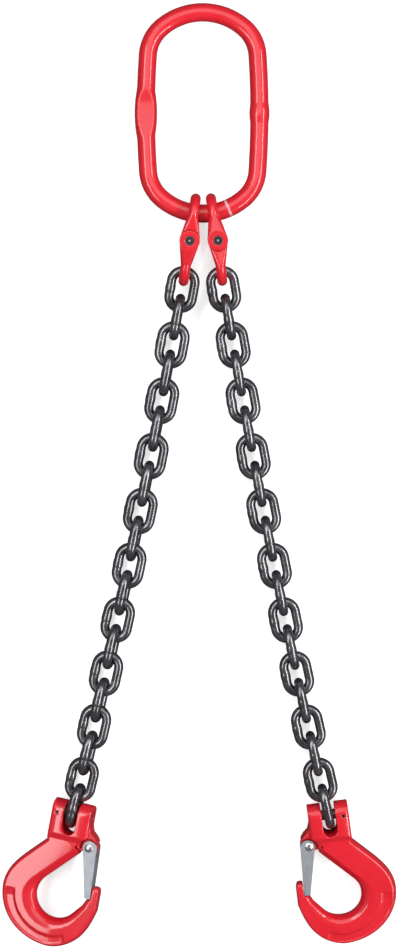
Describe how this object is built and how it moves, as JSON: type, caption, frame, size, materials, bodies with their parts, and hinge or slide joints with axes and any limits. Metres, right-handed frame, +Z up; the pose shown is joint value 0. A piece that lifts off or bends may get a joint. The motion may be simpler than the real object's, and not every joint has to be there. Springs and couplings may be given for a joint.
{
  "type": "two-leg chain sling",
  "caption": "Chain sling: an oblong master link carries chain legs on connecting links, each ending in a clevis sling hook with a sprung latch.",
  "frame": {"origin": "on the surface that the sling lies on, under the middle of its bounding box", "axes": "+Y along the sling towards the master link, +X across it towards the right hook, +Z up, away from the surface"},
  "size_m": [0.4288, 1.0073, 0.0545],
  "materials": {
    "red_paint": "glossy red enamel over forged steel",
    "chain_steel": "blackened alloy steel, oiled, with bright rubbed edges",
    "zinc_plate": "zinc-plated pressed sheet",
    "bright_steel": "plain bright steel",
    "dark_steel": "dark spring and pin steel"
  },
  "bodies": {
    "ring": {"master_link": "red_paint"},
    "left_upper": {"left_lock_upper": "red_paint", "left_lock_pin": "dark_steel", "left_lock_sleeve": "bright_steel"},
    "left_lower": {"left_lock_lower": "red_paint"},
    "left_chain_1": {"left_link_1": "chain_steel"},
    "left_chain_2": {"left_link_2": "chain_steel"},
    "left_chain_3": {"left_link_3": "chain_steel"},
    "left_chain_4": {"left_link_4": "chain_steel"},
    "left_chain_5": {"left_link_5": "chain_steel"},
    "left_chain_6": {"left_link_6": "chain_steel"},
    "left_chain_7": {"left_link_7": "chain_steel"},
    "left_chain_8": {"left_link_8": "chain_steel"},
    "left_chain_9": {"left_link_9": "chain_steel"},
    "left_chain_10": {"left_link_10": "chain_steel"},
    "left_chain_11": {"left_link_11": "chain_steel"},
    "left_chain_12": {"left_link_12": "chain_steel"},
    "left_chain_13": {"left_link_13": "chain_steel"},
    "left_chain_14": {"left_link_14": "chain_steel"},
    "left_chain_15": {"left_link_15": "chain_steel"},
    "left_chain_16": {"left_link_16": "chain_steel"},
    "left_chain_17": {"left_link_17": "chain_steel"},
    "left_chain_18": {"left_link_18": "chain_steel"},
    "left_chain_19": {"left_link_19": "chain_steel"},
    "left_chain_20": {"left_link_20": "chain_steel"},
    "left_hook": {"left_hook": "red_paint", "left_hook_pins": "dark_steel"},
    "left_latch": {"left_latch": "zinc_plate", "left_latch_rivet": "bright_steel", "left_latch_spring": "dark_steel"},
    "right_upper": {"right_lock_upper": "red_paint", "right_lock_pin": "dark_steel", "right_lock_sleeve": "bright_steel"},
    "right_lower": {"right_lock_lower": "red_paint"},
    "right_chain_1": {"right_link_1": "chain_steel"},
    "right_chain_2": {"right_link_2": "chain_steel"},
    "right_chain_3": {"right_link_3": "chain_steel"},
    "right_chain_4": {"right_link_4": "chain_steel"},
    "right_chain_5": {"right_link_5": "chain_steel"},
    "right_chain_6": {"right_link_6": "chain_steel"},
    "right_chain_7": {"right_link_7": "chain_steel"},
    "right_chain_8": {"right_link_8": "chain_steel"},
    "right_chain_9": {"right_link_9": "chain_steel"},
    "right_chain_10": {"right_link_10": "chain_steel"},
    "right_chain_11": {"right_link_11": "chain_steel"},
    "right_chain_12": {"right_link_12": "chain_steel"},
    "right_chain_13": {"right_link_13": "chain_steel"},
    "right_chain_14": {"right_link_14": "chain_steel"},
    "right_chain_15": {"right_link_15": "chain_steel"},
    "right_chain_16": {"right_link_16": "chain_steel"},
    "right_chain_17": {"right_link_17": "chain_steel"},
    "right_chain_18": {"right_link_18": "chain_steel"},
    "right_chain_19": {"right_link_19": "chain_steel"},
    "right_chain_20": {"right_link_20": "chain_steel"},
    "right_hook": {"right_hook": "red_paint", "right_hook_pins": "dark_steel"},
    "right_latch": {"right_latch": "zinc_plate", "right_latch_rivet": "bright_steel", "right_latch_spring": "dark_steel"}
  },
  "joints": [
    {"name": "left_lock_swing", "type": "hinge", "parent": "ring", "child": "left_upper", "pos_m": [-0.00637, 0.28885, 0.0271], "axis": [0.9898, -0.1426, 0], "range_deg": [-90, 90]},
    {"name": "left_leg_spread", "type": "hinge", "parent": "left_upper", "child": "left_lower", "pos_m": [-0.01038, 0.26104, 0.0271], "axis": [0, 0, 1], "range_deg": [-50, 6]},
    {"name": "left_chain_1_turn", "type": "hinge", "parent": "left_lower", "child": "left_chain_1", "pos_m": [-0.01698, 0.21845, 0.0271], "axis": [0, 0, 1], "range_deg": [-90, 16]},
    {"name": "left_chain_2_bend", "type": "hinge", "parent": "left_chain_1", "child": "left_chain_2", "pos_m": [-0.02209, 0.18975, 0.0205], "axis": [-0.9841, 0.1773, -0.0121], "range_deg": [-90, 90]},
    {"name": "left_chain_3_turn", "type": "hinge", "parent": "left_chain_2", "child": "left_chain_3", "pos_m": [-0.02728, 0.16061, 0.01558], "axis": [0.0528, 0.1573, -0.9861], "range_deg": [-18, 90]},
    {"name": "left_chain_4_bend", "type": "hinge", "parent": "left_chain_3", "child": "left_chain_4", "pos_m": [-0.03275, 0.13098, 0.01725], "axis": [0.9827, -0.1815, 0.0366], "range_deg": [-90, 90]},
    {"name": "left_chain_5_turn", "type": "hinge", "parent": "left_chain_4", "child": "left_chain_5", "pos_m": [-0.0382, 0.10147, 0.01725], "axis": [-0.048, 0.0089, 0.9988], "range_deg": [-90, 20]},
    {"name": "left_chain_6_bend", "type": "hinge", "parent": "left_chain_5", "child": "left_chain_6", "pos_m": [-0.04384, 0.07201, 0.01725], "axis": [-0.9803, 0.1876, -0.061], "range_deg": [-90, 90]},
    {"name": "left_chain_7_turn", "type": "hinge", "parent": "left_chain_6", "child": "left_chain_7", "pos_m": [-0.04948, 0.04254, 0.01725], "axis": [0.0719, -0.0138, -0.9973], "range_deg": [-24, 90]},
    {"name": "left_chain_8_bend", "type": "hinge", "parent": "left_chain_7", "child": "left_chain_8", "pos_m": [-0.05531, 0.01311, 0.01725], "axis": [0.9774, -0.1935, 0.0854], "range_deg": [-90, 90]},
    {"name": "left_chain_9_turn", "type": "hinge", "parent": "left_chain_8", "child": "left_chain_9", "pos_m": [-0.06113, -0.01631, 0.01725], "axis": [-0.0957, 0.019, 0.9952], "range_deg": [-90, 26]},
    {"name": "left_chain_10_bend", "type": "hinge", "parent": "left_chain_9", "child": "left_chain_10", "pos_m": [-0.06715, -0.0457, 0.01725], "axis": [-0.9738, 0.1993, -0.1097], "range_deg": [-90, 90]},
    {"name": "left_chain_11_turn", "type": "hinge", "parent": "left_chain_10", "child": "left_chain_11", "pos_m": [-0.07316, -0.07509, 0.01725], "axis": [0.1194, -0.0244, -0.9925], "range_deg": [-30, 90]},
    {"name": "left_chain_12_bend", "type": "hinge", "parent": "left_chain_11", "child": "left_chain_12", "pos_m": [-0.07937, -0.10445, 0.01725], "axis": [0.9696, -0.2049, 0.134], "range_deg": [-90, 90]},
    {"name": "left_chain_13_turn", "type": "hinge", "parent": "left_chain_12", "child": "left_chain_13", "pos_m": [-0.08557, -0.1338, 0.01725], "axis": [-0.1429, 0.0302, 0.9893], "range_deg": [-90, 38]},
    {"name": "left_chain_14_bend", "type": "hinge", "parent": "left_chain_13", "child": "left_chain_14", "pos_m": [-0.09196, -0.16311, 0.01725], "axis": [-0.9647, 0.2103, -0.1582], "range_deg": [-90, 90]},
    {"name": "left_chain_15_turn", "type": "hinge", "parent": "left_chain_14", "child": "left_chain_15", "pos_m": [-0.09835, -0.19242, 0.01725], "axis": [0.1663, -0.0363, -0.9854], "range_deg": [-46, 90]},
    {"name": "left_chain_16_bend", "type": "hinge", "parent": "left_chain_15", "child": "left_chain_16", "pos_m": [-0.10493, -0.22169, 0.01725], "axis": [0.9593, -0.2156, 0.1822], "range_deg": [-90, 90]},
    {"name": "left_chain_17_turn", "type": "hinge", "parent": "left_chain_16", "child": "left_chain_17", "pos_m": [-0.11151, -0.25096, 0.01725], "axis": [-0.1895, 0.0426, 0.981], "range_deg": [-90, 66]},
    {"name": "left_chain_18_bend", "type": "hinge", "parent": "left_chain_17", "child": "left_chain_18", "pos_m": [-0.11827, -0.28019, 0.01725], "axis": [-0.9533, 0.2207, -0.2062], "range_deg": [-90, 90]},
    {"name": "left_chain_19_turn", "type": "hinge", "parent": "left_chain_18", "child": "left_chain_19", "pos_m": [-0.12504, -0.30941, 0.01725], "axis": [0.2125, -0.0492, -0.9759], "range_deg": [-90, 90]},
    {"name": "left_chain_20_bend", "type": "hinge", "parent": "left_chain_19", "child": "left_chain_20", "pos_m": [-0.13199, -0.3386, 0.01725], "axis": [0.9467, -0.2255, 0.23], "range_deg": [-84, 84]},
    {"name": "left_hook_swing", "type": "hinge", "parent": "left_chain_20", "child": "left_hook", "pos_m": [-0.13647, -0.35737, 0.01725], "axis": [-0.957, 0.1615, -0.241], "range_deg": [-80, 80]},
    {"name": "left_latch_open", "type": "hinge", "parent": "left_hook", "child": "left_latch", "pos_m": [-0.11808, -0.39199, 0.02601], "axis": [0.2221, -0.1267, -0.9668], "range_deg": [0, 36], "stiffness_Nm_per_rad": 0.05, "springref_deg": -20.05},
    {"name": "right_lock_swing", "type": "hinge", "parent": "ring", "child": "right_upper", "pos_m": [0.01405, 0.2891, 0.0271], "axis": [-0.986, -0.1668, 0], "range_deg": [-90, 90]},
    {"name": "right_leg_spread", "type": "hinge", "parent": "right_upper", "child": "right_lower", "pos_m": [0.01873, 0.2614, 0.0271], "axis": [0, 0, 1], "range_deg": [-6, 50]},
    {"name": "right_chain_1_turn", "type": "hinge", "parent": "right_lower", "child": "right_chain_1", "pos_m": [0.02346, 0.21856, 0.0271], "axis": [0, 0, 1], "range_deg": [-16, 90]},
    {"name": "right_chain_2_bend", "type": "hinge", "parent": "right_chain_1", "child": "right_chain_2", "pos_m": [0.02838, 0.18982, 0.0205], "axis": [0.9857, 0.1685, 0], "range_deg": [-90, 90]},
    {"name": "right_chain_3_turn", "type": "hinge", "parent": "right_chain_2", "child": "right_chain_3", "pos_m": [0.03336, 0.16065, 0.01558], "axis": [-0.0277, 0.1618, -0.9864], "range_deg": [-90, 18]},
    {"name": "right_chain_4_bend", "type": "hinge", "parent": "right_chain_3", "child": "right_chain_4", "pos_m": [0.03863, 0.13098, 0.01725], "axis": [-0.9846, -0.1748, 0], "range_deg": [-90, 90]},
    {"name": "right_chain_5_turn", "type": "hinge", "parent": "right_chain_4", "child": "right_chain_5", "pos_m": [0.04387, 0.10144, 0.01725], "axis": [0, 0, 1], "range_deg": [-20, 90]},
    {"name": "right_chain_6_bend", "type": "hinge", "parent": "right_chain_5", "child": "right_chain_6", "pos_m": [0.04931, 0.07193, 0.01725], "axis": [0.9835, 0.1811, 0], "range_deg": [-90, 90]},
    {"name": "right_chain_7_turn", "type": "hinge", "parent": "right_chain_6", "child": "right_chain_7", "pos_m": [0.05474, 0.04243, 0.01725], "axis": [0, 0, -1], "range_deg": [-90, 24]},
    {"name": "right_chain_8_bend", "type": "hinge", "parent": "right_chain_7", "child": "right_chain_8", "pos_m": [0.06036, 0.01296, 0.01725], "axis": [-0.9823, -0.1874, 0], "range_deg": [-90, 90]},
    {"name": "right_chain_9_turn", "type": "hinge", "parent": "right_chain_8", "child": "right_chain_9", "pos_m": [0.06598, -0.01651, 0.01725], "axis": [0, 0, 1], "range_deg": [-26, 90]},
    {"name": "right_chain_10_bend", "type": "hinge", "parent": "right_chain_9", "child": "right_chain_10", "pos_m": [0.07179, -0.04594, 0.01725], "axis": [0.9811, 0.1937, 0], "range_deg": [-90, 90]},
    {"name": "right_chain_11_turn", "type": "hinge", "parent": "right_chain_10", "child": "right_chain_11", "pos_m": [0.0776, -0.07537, 0.01725], "axis": [0, 0, -1], "range_deg": [-90, 30]},
    {"name": "right_chain_12_bend", "type": "hinge", "parent": "right_chain_11", "child": "right_chain_12", "pos_m": [0.0836, -0.10477, 0.01725], "axis": [-0.9798, -0.1999, 0], "range_deg": [-90, 90]},
    {"name": "right_chain_13_turn", "type": "hinge", "parent": "right_chain_12", "child": "right_chain_13", "pos_m": [0.0896, -0.13416, 0.01725], "axis": [0, 0, 1], "range_deg": [-38, 90]},
    {"name": "right_chain_14_bend", "type": "hinge", "parent": "right_chain_13", "child": "right_chain_14", "pos_m": [0.09578, -0.16352, 0.01725], "axis": [0.9785, 0.2062, 0], "range_deg": [-90, 90]},
    {"name": "right_chain_15_turn", "type": "hinge", "parent": "right_chain_14", "child": "right_chain_15", "pos_m": [0.10197, -0.19287, 0.01725], "axis": [0, 0, -1], "range_deg": [-90, 46]},
    {"name": "right_chain_16_bend", "type": "hinge", "parent": "right_chain_15", "child": "right_chain_16", "pos_m": [0.10834, -0.22219, 0.01725], "axis": [-0.9772, -0.2125, 0], "range_deg": [-90, 90]},
    {"name": "right_chain_17_turn", "type": "hinge", "parent": "right_chain_16", "child": "right_chain_17", "pos_m": [0.11472, -0.2515, 0.01725], "axis": [0, 0, 1], "range_deg": [-66, 90]},
    {"name": "right_chain_18_bend", "type": "hinge", "parent": "right_chain_17", "child": "right_chain_18", "pos_m": [0.12128, -0.28077, 0.01725], "axis": [0.9758, 0.2187, 0], "range_deg": [-90, 90]},
    {"name": "right_chain_19_turn", "type": "hinge", "parent": "right_chain_18", "child": "right_chain_19", "pos_m": [0.12784, -0.31005, 0.01725], "axis": [0, 0, -1], "range_deg": [-90, 90]},
    {"name": "right_chain_20_bend", "type": "hinge", "parent": "right_chain_19", "child": "right_chain_20", "pos_m": [0.13459, -0.33928, 0.01725], "axis": [-0.9744, -0.225, 0], "range_deg": [-84, 84]},
    {"name": "right_hook_swing", "type": "hinge", "parent": "right_chain_20", "child": "right_hook", "pos_m": [0.13893, -0.35808, 0.01725], "axis": [0.9903, 0.1392, 0], "range_deg": [-80, 80]},
    {"name": "right_latch_open", "type": "hinge", "parent": "right_hook", "child": "right_latch", "pos_m": [0.11822, -0.39248, 0.01603], "axis": [0.0055, -0.0388, 0.9992], "range_deg": [0, 36], "stiffness_Nm_per_rad": 0.05, "springref_deg": -20.05}
  ]
}
